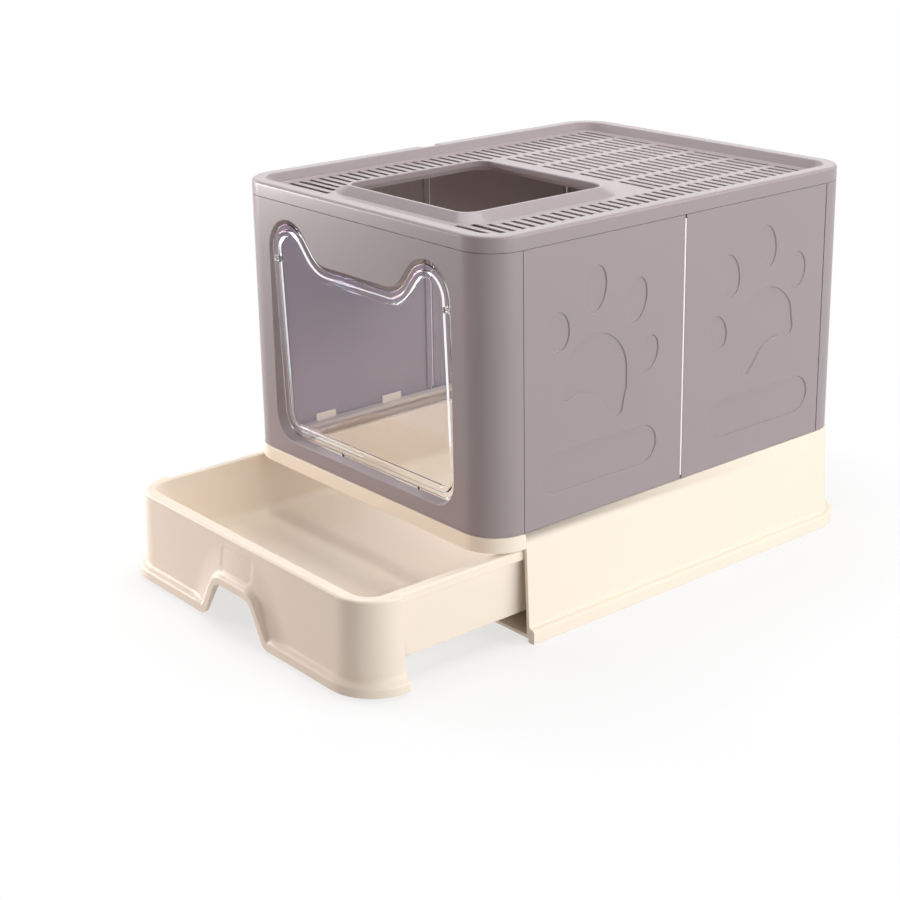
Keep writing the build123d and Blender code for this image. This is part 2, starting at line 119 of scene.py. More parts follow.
class BoxColours(bpy.types.PropertyGroup):
    """Colours of the mouldings"""

    cream: bpy.props.FloatVectorProperty(
        name="Cream plastic", description="Base and drawer", subtype="COLOR", size=3,
        default=(0.855, 0.752, 0.636), min=0, max=1)
    taupe: bpy.props.FloatVectorProperty(
        name="Taupe plastic", description="Panels and cover", subtype="COLOR", size=3,
        default=(0.320, 0.270, 0.280), min=0, max=1)
    # the fold strips' pale colour is a painted highlight: it stands in for the gloss along the fold groove
    # of the taupe panels
    strip: bpy.props.FloatVectorProperty(
        name="Fold strip", description="Flexible strips at mid-length", subtype="COLOR", size=3,
        default=(0.86, 0.82, 0.78), min=0, max=1)


def sizes():
    return bpy.context.scene.litterbox_sizes


# ---------- mesh tools
def arc(x, y, radius, start, sweep, count):
    """Points along an arc round (x, y); start and sweep are in degrees."""
    out = []
    for k in range(count + 1):
        angle = math.radians(start + sweep * k / count)
        out.append((x + radius * math.cos(angle), y + radius * math.sin(angle)))
    return out


def soften(corners, steps=4, closed=True):
    """Rounds the corners of an outline; each corner is (a, b, radius)."""
    most = 0.49  # share of a side that one rounding may take
    out = []
    last = len(corners) - 1
    for i, (a, b, radius) in enumerate(corners):
        if radius <= 0 or (not closed and i in (0, last)):
            out.append((a, b))
            continue
        point = Vector((a, b))
        back = Vector(corners[i - 1][:2]) - point
        ahead = Vector(corners[(i + 1) % (last + 1)][:2]) - point
        half = back.angle(ahead) / 2
        reach = min(radius / math.tan(half), most * back.length, most * ahead.length)
        radius = reach * math.tan(half)
        back.normalize()
        ahead.normalize()
        middle = point + (back + ahead).normalized() * (radius / math.sin(half))
        start = point + back * reach - middle
        end = point + ahead * reach - middle
        first = math.atan2(start.y, start.x)
        turn = (math.atan2(end.y, end.x) - first + math.pi) % (2 * math.pi) - math.pi
        out += arc(middle.x, middle.y, radius, math.degrees(first), math.degrees(turn), steps)
    return out


def rounded(x0, x1, y0, y1, radius, z, steps=12, at_x=(), at_y=()):
    """Ring round a rectangle with rounded corners, anticlockwise from its right front corner."""
    ring = []

    def corner(cx, cy, start):
        ring.extend((x, y, z) for x, y in arc(cx, cy, radius, start, 90, steps))

    def clip(value, low, high):
        return min(max(value, low + radius), high - radius)

    corner(x1 - radius, y0 + radius, -90)
    ring.extend((x1, clip(y, y0, y1), z) for y in at_y)
    corner(x1 - radius, y1 - radius, 0)
    ring.extend((clip(x, x0, x1), y1, z) for x in reversed(at_x))
    corner(x0 + radius, y1 - radius, 90)
    ring.extend((x0, clip(y, y0, y1), z) for y in reversed(at_y))
    corner(x0 + radius, y0 + radius, 180)
    ring.extend((clip(x, x0, x1), y0, z) for x in at_x)
    return ring


def body_ring(grow, z, **more):
    """Ring round the body, moved outwards by grow."""
    return rounded(-SIDE - grow, SIDE + grow, FRONT - grow, -FRONT + grow, CORNER + grow, z, **more)


def mix(ring_a, ring_b, share, z):
    """Ring between two others, at a height of its own."""
    return [(a[0] + (b[0] - a[0]) * share, a[1] + (b[1] - a[1]) * share, z) for a, b in zip(ring_a, ring_b)]


def span(side, near, far):
    """Low and high end of a stretch that runs from near to far on one side of the middle."""
    return sorted((side * near, side * far))


def smooth_step(share):
    """Eases a share that runs from 0 to 1, and holds it there outside."""
    share = min(max(share, 0), 1)
    return share * share * (3 - 2 * share)


def end_stations(end, start, count=14):
    """Places with outward directions round one end of the body, right to left; end is -1 at the front.

    The first and last one lie on the sides at y = start.
    """
    half = [(SIDE, start, 1, 0)]
    for nx, ny in arc(0, 0, 1, 0, end * 90, count):
        half.append((CORNER_X + CORNER * nx, end * CORNER_Y + CORNER * ny, nx, ny))
    return half + [(-x, y, -nx, ny) for x, y, nx, ny in reversed(half)]


class Skin:
    """Points and faces of one moulding, in millimetres."""

    def __init__(self):
        self.points = []
        self.faces = []

    def add(self, ring):
        first = len(self.points)
        self.points += [tuple(p) for p in ring]
        return list(range(first, first + len(ring)))

    def join(self, other):
        shift = len(self.points)
        self.points += other.points
        self.faces += [tuple(i + shift for i in f) for f in other.faces]

    def wrap(self, a, b, closed=True):
        """Faces between two rows of points."""
        count = len(a)
        for i in range(count if closed else count - 1):
            j = (i + 1) % count
            self.faces.append((a[i], a[j], b[j], b[i]))

    def stack(self, rings, closed=True):
        """Faces between all neighbours in a row of rings."""
        ids = [self.add(ring) for ring in rings]
        for a, b in zip(ids, ids[1:]):
            self.wrap(a, b, closed)
        return ids

    def sweep(self, stations, section, closed=True):
        """Carries a section, in distance beyond the body and height, along stations."""
        return self.stack([[(x + nx * g, y + ny * g, z) for g, z in section] for x, y, nx, ny in stations],
                          closed)

    def fill(self, *loops):
        """Flat face inside the first loop, with the other loops as holes."""
        flat = [i for loop in loops for i in loop]
        for tri in tessellate_polygon([[Vector(self.points[i]) for i in loop] for loop in loops]):
            self.faces.append(tuple(flat[i] for i in tri))

    def cap(self, ids):
        """Fills both ends of a stack."""
        self.fill(ids[0])
        self.fill(ids[-1])

    def block(self, x0, x1, y0, y1, z0, z1, edge=0.5):
        """Block with softened edges."""
        e = min(edge, (x1 - x0) / 3, (y1 - y0) / 3, (z1 - z0) / 3)
        dip = 0.3 * e
        rings = []
        for inset, z in ((e, z0), (dip, z0 + dip), (0, z0 + e), (0, z1 - e), (dip, z1 - dip), (e, z1)):
            rings.append(rounded(x0 + inset, x1 - inset, y0 + inset, y1 - inset, e, z, steps=2))
        self.cap(self.stack(rings))

    def rod(self, centre, axis, radius, length, sides=28, edge=0.3):
        """Round rod with softened ends; axis is 0 for X and 2 for Z."""
        rings = []
        for along, r in ((0, radius - edge), (edge, radius),
                         (length - edge, radius), (length, radius - edge)):
            ring = []
            for u, v in arc(0, 0, r, 0, 360, sides)[:-1]:
                shift = (along, u, v) if axis == 0 else (u, v, along)
                ring.append(tuple(c + s for c, s in zip(centre, shift)))
            rings.append(ring)
        self.cap(self.stack(rings))

    def prism(self, outline, z0, z1):
        """Upright prism over an outline in X and Y."""
        self.cap(self.stack([[(x, y, z) for x, y in outline] for z in (z0, z1)]))

    def mirrored(self, across_x=False, across_y=False):
        other = Skin()
        sx, sy = (-1 if across_x else 1), (-1 if across_y else 1)
        other.points = [(sx * x, sy * y, z) for x, y, z in self.points]
        other.faces = list(self.faces)
        return other


def moulding(name, skin, body, slot, *nodes, sharp=38, shift=(0, 0, 0)):
    """Makes a Blender object of a skin that rides on a body and stands for CAD nodes."""
    weld, speck = 0.01, 0.002
    mesh = bpy.data.meshes.new(name)
    mesh.from_pydata([tuple((c + s) * MM for c, s in zip(p, shift)) for p in skin.points], [], skin.faces)
    bm = bmesh.new()
    bm.from_mesh(mesh)
    bmesh.ops.remove_doubles(bm, verts=bm.verts, dist=weld * MM)
    bmesh.ops.dissolve_degenerate(bm, edges=bm.edges, dist=speck * MM)
    bmesh.ops.recalc_face_normals(bm, faces=bm.faces)
    bm.to_mesh(mesh)
    bm.free()
    mesh.materials.append(bpy.data.materials["finish_" + slot])
    mesh.shade_smooth()
    mesh.set_sharp_from_angle(angle=math.radians(sharp))
    obj = bpy.data.objects.new(name, mesh)
    bpy.context.collection.objects.link(obj)
    even = obj.modifiers.new("face_weighted_normals", "WEIGHTED_NORMAL")
    even.keep_sharp = True
    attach(obj, body)
    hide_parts(*nodes)
    return obj


# ---------- materials
def preset(node, values):
    """Sets values of a node's inputs by their names."""
    for name, value in values.items():
        node.inputs[name].default_value = value


def maths(tree, kind, *sources):
    """Result of a maths node that works on numbers and on other nodes' results."""
    node = tree.nodes.new("ShaderNodeMath")
    node.operation = kind
    for socket, source in zip(node.inputs, sources):
        if isinstance(source, float):
            socket.default_value = source
        else:
            tree.links.new(source, socket)
    return node.outputs["Value"]


def moulding_group():
    """Shared faint unevenness of moulded plastic: tone, roughness, fine grain and slow waves."""
    name = "moulded_surface"
    if name in bpy.data.node_groups:
        return bpy.data.node_groups[name]
    g = bpy.data.node_groups.new(name, "ShaderNodeTree")
    face = g.interface
    for title, kind in (("Colour", "Color"), ("Tone", "Float"), ("Roughness", "Float"), ("Grain", "Float")):
        face.new_socket(title, in_out="INPUT", socket_type="NodeSocket" + kind)
    for title, kind in (("Colour", "Color"), ("Roughness", "Float"), ("Height", "Float")):
        face.new_socket(title, in_out="OUTPUT", socket_type="NodeSocket" + kind)
    n, link = g.nodes, g.links.new
    gin, gout = n.new("NodeGroupInput"), n.new("NodeGroupOutput")
    place = n.new("ShaderNodeTexCoord")

    def noise(scale, detail):
        node = n.new("ShaderNodeTexNoise")
        preset(node, {"Scale": scale, "Detail": detail})
        link(place.outputs["Object"], node.inputs["Vector"])
        return node.outputs["Fac"]

    def spread(source, low, high):
        """Stretches the middle half of a noise, where nearly all of it lies, to run from low to high."""
        node = n.new("ShaderNodeMapRange")
        preset(node, {"From Min": 0.25, "From Max": 0.75, "To Min": low, "To Max": high})
        link(source, node.inputs["Value"])
        return node.outputs["Result"]

    cloud = noise(scale=6.0, detail=3.0)
    fine = noise(scale=1500.0, detail=2.0)
    slow = noise(scale=15.0, detail=1.0)
    tint = n.new("ShaderNodeVectorMath")
    tint.operation = "SCALE"
    link(gin.outputs["Colour"], tint.inputs[0])
    link(maths(g, "MULTIPLY_ADD", spread(cloud, -1, 1), gin.outputs["Tone"], 1.0), tint.inputs["Scale"])
    link(tint.outputs["Vector"], gout.inputs["Colour"])
    link(maths(g, "MULTIPLY", gin.outputs["Roughness"], spread(cloud, 0.9, 1.1)), gout.inputs["Roughness"])
    link(maths(g, "ADD", maths(g, "MULTIPLY", fine, gin.outputs["Grain"]), slow), gout.inputs["Height"])
    return g


def moulded_material(name, roughness):
    """New material with uneven roughness; gives its node tree, shader and shared group."""
    m = bpy.data.materials.new(name)
    m.use_nodes = True
    tree = m.node_tree
    shader = tree.nodes["Principled BSDF"]
    group = tree.nodes.new("ShaderNodeGroup")
    group.node_tree = moulding_group()
    preset(group, {"Roughness": roughness})
    tree.links.new(group.outputs["Roughness"], shader.inputs["Roughness"])
    return tree, shader, group


def tint_unevenly(tree, shader, group, colour, tone):
    """Lets a colour vary over the surface by the share tone."""
    preset(group, {"Colour": (*colour, 1), "Tone": tone})
    tree.links.new(group.outputs["Colour"], shader.inputs["Base Color"])


def wave(tree, shader, group, height):
    """Gives the surface the shared waves and grain, of a height in metres."""
    lift = tree.nodes.new("ShaderNodeBump")
    preset(lift, {"Distance": height})
    tree.links.new(group.outputs["Height"], lift.inputs["Height"])
    tree.links.new(lift.outputs["Normal"], shader.inputs["Normal"])


def plastic(name, colour, roughness, coat=0.0, shine=0.5):
    """Moulded plastic with the shared unevenness and a little fine grain."""
    tree, shader, group = moulded_material(name, roughness)
    tint_unevenly(tree, shader, group, colour, tone=0.015)
    wave(tree, shader, group, height=0.0001)
    preset(group, {"Grain": 0.02})
    preset(shader, {"IOR": 1.5, "Specular IOR Level": shine, "Coat Weight": coat, "Coat Roughness": 0.15})


def clear_plastic(name):
    """Clear moulded plastic of the flap door, with a faint film sheen and slow waves."""
    tree, shader, group = moulded_material(name, roughness=0.012)
    wave(tree, shader, group, height=0.00008)
    preset(shader, {"Base Color": (0.97, 0.98, 0.98, 1), "Transmission Weight": 1.0, "IOR": 1.46,
                    "Thin Film Thickness": 620.0, "Thin Film IOR": 1.36})


def steel(name):
    """Drawn steel wire of the hinge rods."""
    tree, shader, group = moulded_material(name, roughness=0.28)
    tint_unevenly(tree, shader, group, (0.60, 0.60, 0.62), tone=0.05)
    preset(shader, {"Metallic": 1.0})


class LITTERBOX_OT_finishes(bpy.types.Operator):
    """Make the finishes of the mouldings"""

    bl_idname = "litterbox.finishes"
    bl_label = "Finishes"

    def execute(self, context):
        tone = context.scene.litterbox_colours
        plastic("finish_base_plastic", tone.cream, roughness=0.42, coat=0.03, shine=0.2)
        plastic("finish_drawer_plastic", tone.cream, roughness=0.42, coat=0.03, shine=0.2)
        plastic("finish_shell_plastic", tone.taupe, roughness=0.36, coat=0.05, shine=0.22)
        plastic("finish_cover_plastic", tone.taupe, roughness=0.33, coat=0.15, shine=0.25)
        # pale finish of the fold strips, a painted highlight of the fold groove
        plastic("finish_strip_plastic", tone.strip, roughness=0.5)
        steel("finish_hinge_steel")
        clear_plastic("finish_door_clear")
        return {"FINISHED"}


# ---------- cover
class LITTERBOX_OT_cover(bpy.types.Operator):
    """Build the top cover: rim, slotted grille and the collar round the hole"""

    bl_idname = "litterbox.cover"
    bl_label = "Top cover"

    def execute(self, context):
        skin = Skin()
        rim_round = sizes().rim_round / MM
        rim_under = COVER_TOP - WALL
        # rim from the plate over the top to the underside: distance beyond the body, height, rounding
        section = soften([
            (-21, PLATE_TOP, 0), (-19, PLATE_TOP, 1.2), (-14, COVER_TOP, 1.8), (0, COVER_TOP, rim_round),
            (0, COVER_SEAM, 0.5), (-WALL, COVER_SEAM, 0.3), (-WALL, rim_under, 0), (-13.5, rim_under, 0),
            (-13.5, PLATE_FOOT, 0), (-21, PLATE_FOOT, 0)], steps=5, closed=False)
        notch_ends = (-NOTCH_HALF - 2, -NOTCH_HALF, NOTCH_HALF, NOTCH_HALF + 2)
        rings = skin.stack([body_ring(grow, z, at_y=notch_ends) for grow, z in section])
        self.press_notch(skin)
        # a slot narrows from its softened mouth to its straight walls
        levels = ((0.7, PLATE_TOP), (0.2, PLATE_TOP - 0.2), (0, PLATE_TOP - 0.8), (0, PLATE_FOOT))
        slots = [skin.stack([self.slot_ring(s, grow, z) for grow, z in levels]) for s in self.slots()]
        collar = skin.stack(self.collar_rings())
        skin.fill(rings[0], collar[0], *[s[0] for s in slots])
        skin.fill(rings[-1], collar[-1], *[s[-1] for s in slots])
        # ribs that hang behind the panels, along the sides and the ends
        rib_foot, rib_head, side_half, end_half = 365, rim_under + 0.2, 201.6, 150.6
        for s in (-1, 1):
            skin.block(*span(s, *TABS_X), -side_half, side_half, rib_foot, rib_head)
            skin.block(-end_half, end_half, *span(s, *TABS_Y), rib_foot, rib_head)
        moulding("grille_cover", skin, "cover", "cover_plastic", "top_cover")
        return {"FINISHED"}

    def press_notch(self, skin):
        """Presses a shallow notch into the rings of the left rim, at mid-length."""
        inside, bed, above = -190.5, 385.9, 385.5
        for i, (x, y, z) in enumerate(skin.points):
            if x < inside and abs(y) < NOTCH_HALF + 0.3 and z > above:
                skin.points[i] = (x, y, bed - 0.2 * (COVER_TOP - z))

    def opening(self, half, y0, y1, radius, z):
        return rounded(-half, half, y0, y1, radius, z, steps=10)

    def collar_rings(self):
        """Rings from the collar's foot over its crest into the hole, which widens below."""
        crest_z, throat_z = 386.5, 380.0
        foot = self.opening(109.0, -197.0, 10.0, 27.0, PLATE_TOP)
        crest = self.opening(96.0, -188.0, -3.0, 18.5, crest_z)
        mouth = self.opening(92.5, -184.5, -6.5, 15.0, crest_z)
        wide = self.opening(97.5, -189.5, -1.5, 20.0, throat_z)
        # run inwards from the foot to the crest and to the mouth
        to_crest, to_mouth = 13.0, 16.5
        slope = soften([
            (-3, PLATE_TOP, 0), (0, PLATE_TOP, 2.5), (to_crest, crest_z, 1.3), (to_mouth, crest_z, 1.3),
            (to_mouth, throat_z, 0.4), (14, throat_z, 0)], steps=5, closed=False)[:-1]
        rings = []
        for run, z in slope:
            if run <= to_crest:
                rings.append(mix(foot, crest, run / to_crest, z))
            else:
                rings.append(mix(crest, mouth, (run - to_crest) / (to_mouth - to_crest), z))
        return rings + [wide, [(x, y, PLATE_FOOT) for x, y, z in wide]]

    def slots(self):
        """Slot rectangles of all rows, in three columns each side."""
        rows, rear_y, pitch_y = 35, 214.0, 12.2
        pitch_x, half_bar, half_slot = 57.0, 4.75, 2.5
        collar_y, outer_x = 33.9, 166.75
        out = []
        for row in range(rows):
            y = rear_y - pitch_y * row
            for column in range(3):
                x0, x1 = column * pitch_x + half_bar, (column + 1) * pitch_x - half_bar
                if column < 2 and y < collar_y:
                    continue
                if column == 2:
                    # the front rows reach further in, along the collar's rounded corner
                    x0 -= max(0.0, 21.0 - 8.0 * (rows - 1 - row))
                    x1 = outer_x
                out.append((x0, x1, y - half_slot, y + half_slot))
                out.append((-x1, -x0, y - half_slot, y + half_slot))
        return out

    def slot_ring(self, slot, grow, z):
        x0, x1, y0, y1 = slot
        return rounded(x0 - grow, x1 + grow, y0 - grow, y1 + grow, 0.6 + grow, z, steps=2)


# ---------- panels
def door_path(grow):
    """Doorway outline in X and Z, from the valley round the right ear; grow moves it outwards."""
    half_width, top, sill, valley_foot = 141.0, 356.0, 124.0, 319.5
    # radii of the ear, the valley and the lower corner, and the slope in degrees between valley and ear
    ear, valley, low, steep = 33.5, 30.0, 28.0, 50
    rise = math.radians(steep)
    ear_x, ear_z = half_width - ear, top - ear
    touch_x, touch_z = ear_x - ear * math.sin(rise), ear_z + ear * math.cos(rise)
    meet = touch_x - (touch_z - valley_foot) / math.tan(rise)
    right = arc(meet - valley * math.tan(rise / 2), valley_foot + valley, valley - grow, -90, steep, 10)
    right += arc(ear_x, ear_z, ear + grow, 90 + steep, -90 - steep, 26)
    right += arc(half_width - low, sill + low, low + grow, 0, -90, 12)
    return right + [(-x, z) for x, z in reversed(right)]


def side_hook(skin, toward, z0, z1):
    """Hook round the front right rod; toward is +1 on the side panel and -1 on the end panel."""
    seat, arm, root = 1.55, 3.5, 191.4
    back, tip, floor, seam = (HINGE_Y + toward * t for t in (8.0, -2.0, seat, 0.8))
    x = HINGE_X
    skin.prism([(x - arm, back), (x - arm, tip), (x - seat, tip), (x - seat, floor), (x + seat, floor),
                (x + seat, tip), (x + arm, tip), (x + arm, seam), (root, seam), (root, back)], z0, z1)


def end_panel_skin(with_door):
    """Front or rear panel, drawn as the front one: wraps both corners back to the hinge seams."""
    skin = Skin()
    edge = sizes().edge_round / MM
    foot, head = BASE_SEAM + SEAM_GAP, COVER_SEAM - SEAM_GAP
    stations = end_stations(-1, HINGE_Y - HALF_SEAM)
    section = soften([(0, foot, edge), (0, head, edge), (-WALL, head, edge), (-WALL, foot, edge)], steps=3)
    grid = [skin.add([(x + nx * g, y + ny * g, z) for g, z in section]) for x, y, nx, ny in stations]
    middle = len(stations) // 2 - 1
    close = 1e-6
    outer = [k for k, (g, z) in enumerate(section) if g > -close]
    inner = [k for k, (g, z) in enumerate(section) if g < -WALL + close]
    count = len(section)
    for i in range(len(grid) - 1):
        for k in range(count):
            j = (k + 1) % count
            flat = (k in outer and j in outer) or (k in inner and j in inner)
            if not (with_door and i == middle and flat):
                skin.faces.append((grid[i][k], grid[i + 1][k], grid[i + 1][j], grid[i][j]))
    skin.cap(grid)
    if with_door:
        # jamb: distance beyond the doorway, Y, rounding
        jamb_end = FRONT + 14
        profile = soften([(1.6, FRONT, 0), (0, FRONT, 1.3), (0, jamb_end, 0.5), (3, jamb_end, 0.5),
                          (3, FRONT + WALL, 0)], steps=5, closed=False)
        jamb = skin.stack([[(x, y, z) for x, z in door_path(g)] for g, y in profile])
        a, b = grid[middle], grid[middle + 1]
        for flat, ring in ((outer, jamb[0]), (inner, jamb[-1])):
            first, last = flat[0], flat[-1]
            skin.fill([a[first], a[last], b[last], b[first]], ring)
    for z0, z1 in ((120, 146), (334, 360)):
        hook = Skin()
        side_hook(hook, -1, z0, z1)
        skin.join(hook)
        skin.join(hook.mirrored(across_x=True))
    return skin


def oval(y, z, a, b, turn, count=40):
    """Oval with half axes a and b, turned by some degrees."""
    c, s = math.cos(math.radians(turn)), math.sin(math.radians(turn))
    out = []
    for u, v in arc(0, 0, 1, 0, 360, count)[:-1]:
        out.append((y + a * u * c - b * v * s, z + a * u * s + b * v * c))
    return out


def lobes(*arcs):
    """Outline made of arcs (centre y, centre z, radius, start, sweep), joined by straight runs."""
    out = []
    for y, z, radius, start, sweep in arcs:
        out += arc(y, z, radius, start, sweep, max(4, round(abs(sweep) * radius / 90)))
    return out


def marks():
    """Paw print and bar of a side panel, in Y from the body's front face and Z, anticlockwise."""
    toes = [oval(81.5, 290.4, 13.5, 18.6, 4), oval(127.5, 322.3, 13.5, 21.8, -10),
            oval(180.5, 302.0, 13.0, 21.6, -14), oval(197.0, 247.0, 12.5, 17.6, -20)]
    pad = lobes((92.5, 232.0, 8.0, 170, 95), (107.5, 188.8, 38.0, 108, -78),
                (156.0, 201.5, 7.5, -150, 124), (150.0, 222.0, 18.5, -28, 28), (126.5, 238.0, 42.0, 0, 154))
    bar = lobes((189.75, 157, 19.25, -90, 180), (77.25, 157, 19.25, 90, 180))
    return toes + [pad, bar]


def shifted(outline, distance):
    """Outline moved outwards along its own normals; anticlockwise outlines grow."""
    out = []
    count = len(outline)
    for i, (a, b) in enumerate(outline):
        p, q = outline[i - 1], outline[(i + 1) % count]
        t = Vector((q[0] - p[0], q[1] - p[1])).normalized()
        out.append((a + t.y * distance, b - t.x * distance))
    return out


def side_panel_skin():
    """Right front side panel with its marks pressed in, its fold rib and its hook."""
    skin = Skin()
    edge = sizes().edge_round / MM
    depth = sizes().mark_depth / MM
    dip = 0.3 * edge
    half_fold_gap = 1.1
    inside = SIDE - WALL
    y0, y1 = HINGE_Y + HALF_SEAM, -half_fold_gap
    z0, z1 = BASE_SEAM + SEAM_GAP, COVER_SEAM - SEAM_GAP
    rings = []
    for inset, x in ((edge, SIDE), (dip, SIDE - dip), (0, SIDE - edge),
                     (0, inside + edge), (dip, inside + dip), (edge, inside)):
        rings.append([(x, y, z) for y, z in ((y0 + inset, z0 + inset), (y1 - inset, z0 + inset),
                                             (y1 - inset, z1 - inset), (y0 + inset, z1 - inset))])
    ids = skin.stack(rings)
    # a mark's edge: distance outside its outline and share of its depth
    slope = ((1.0, 0), (0.6, 0.07), (0.25, 0.25), (0.05, 0.55), (-0.1, 0.88), (-0.5, 1))
    pockets = []
    for outline in marks():
        outline = [(y + FRONT, z) for y, z in outline]
        pocket = skin.stack([[(SIDE - share * depth, y, z) for y, z in shifted(outline, grow)]
                             for grow, share in slope])
        skin.fill(pocket[-1])
        pockets.append(pocket[0])
    skin.fill(ids[0], *pockets)
    skin.fill(ids[-1])
    skin.block(inside - WALL, inside + 0.2, y1 - 7, y1 - 0.05, STRIP_FOOT, INSIDE_TOP)
    side_hook(skin, 1, 227, 253)
    return skin


def strip_skin():
    """Right fold strip: face between the panels, core, web inside them and a bead along both edges."""
    skin = Skin()
    core_x, face_x, web_x, bead_x = (189.4, 192.4), (191.2, 193.6), (189.75, 190.65), (188.9, 191.5)
    bead_y, bead_half = 4.2, 1.3
    skin.block(*core_x, -0.7, 0.7, STRIP_FOOT + 0.2, INSIDE_TOP, edge=0.2)
    skin.block(*face_x, -0.95, 0.95, STRIP_FOOT, COVER_SEAM - 4, edge=0.3)
    skin.block(*web_x, -bead_y, bead_y, STRIP_FOOT, INSIDE_TOP, edge=0.2)
    for y in (-bead_y, bead_y):
        skin.block(*bead_x, y - bead_half, y + bead_half, STRIP_FOOT, INSIDE_TOP, edge=0.6)
    return skin


class LITTERBOX_OT_panels(bpy.types.Operator):
    """Build the front, rear and side panels, their fold strips and hinge rods"""

    bl_idname = "litterbox.panels"
    bl_label = "Panels"

    def execute(self, context):
        moulding("doorway_panel", end_panel_skin(True), "shell", "shell_plastic", "front_panel")
        moulding("closed_panel", end_panel_skin(False).mirrored(across_y=True), "shell",
                 "shell_plastic", "rear_panel")
        side = side_panel_skin()
        rod = Skin()
        rod.rod((HINGE_X, HINGE_Y, ROD_FOOT), axis=2, radius=1.5, length=INSIDE_TOP - ROD_FOOT)
        for x_name, across_x in (("right", False), ("left", True)):
            for y_name, across_y in (("front", False), ("rear", True)):
                moulding("paw_panel_" + x_name + "_" + y_name, side.mirrored(across_x, across_y),
                         "shell", "shell_plastic", x_name + "_" + y_name + "_side_panel")
                moulding("rod_" + y_name + "_" + x_name, rod.mirrored(across_x, across_y),
                         "shell", "hinge_steel", y_name + "_" + x_name + "_hinge_rod")
            # each strip's face sits in the fold seam and carries the painted highlight
            moulding("strip_" + x_name, strip_skin().mirrored(across_x), "shell", "strip_plastic",
                     x_name + "_fold_strip")
        return {"FINISHED"}


# ---------- door
class LITTERBOX_OT_door(bpy.types.Operator):
    """Build the clear flap door with its bead, pane, tabs and pivot pins"""

    bl_idname = "litterbox.door"
    bl_label = "Flap door"

    def execute(self, context):
        skin = Skin()
        back, front, bead = -2.4, -4.9, -6.4
        # from the pane's back, round the edge and over the bead to the pane's front:
        # distance beyond the doorway, Y from the pivot axis, rounding
        section = soften([
            (-18.5, back, 0), (-9.0, back, 1.0), (-4, back, 0.8), (-4, front, 0.8), (-9.2, front, 0.7),
            (-10.6, bead, 1.1), (-15.4, bead, 1.1), (-17.2, -4.1, 0.9), (-18.5, -4.1, 0)],
            steps=5, closed=False)
        skin.cap(skin.stack([[(x, y, z) for x, z in door_path(grow)] for grow, y in section]))
        tab_x, tab_half, tab_foot, tab_head = 60, 18, 125, 129
        pin, pin_end, boss_end = 128, 143.6, 137
        for s in (-1, 1):
            x = s * tab_x
            skin.block(x - tab_half, x + tab_half, front, back, tab_foot, tab_head, edge=0.7)
            skin.rod((span(s, pin, pin_end)[0], 0, AXIS_Z), axis=0, radius=2.0, length=pin_end - pin)
            skin.block(*span(s, pin, boss_end), -4.4, 3.0, AXIS_Z - 3, AXIS_Z + 3, edge=0.8)
        tilt = sizes().door_tilt
        c, t = math.cos(tilt), math.sin(tilt)
        skin.points = [(x, AXIS_Y + y * c - (z - AXIS_Z) * t, AXIS_Z + y * t + (z - AXIS_Z) * c)
                       for x, y, z in skin.points]
        door = moulding("flap_door", skin, "door", "door_clear", "entry_door", sharp=60)
        # clear plastic lets the light of the lamps into the cabin
        door.visible_shadow = False
        return {"FINISHED"}


# ---------- base
def flare(z):
    """How far the base's outer wall stands beyond the panels at height z."""
    return 1.0 + (BASE_SEAM - z) * math.tan(math.radians(2.4))


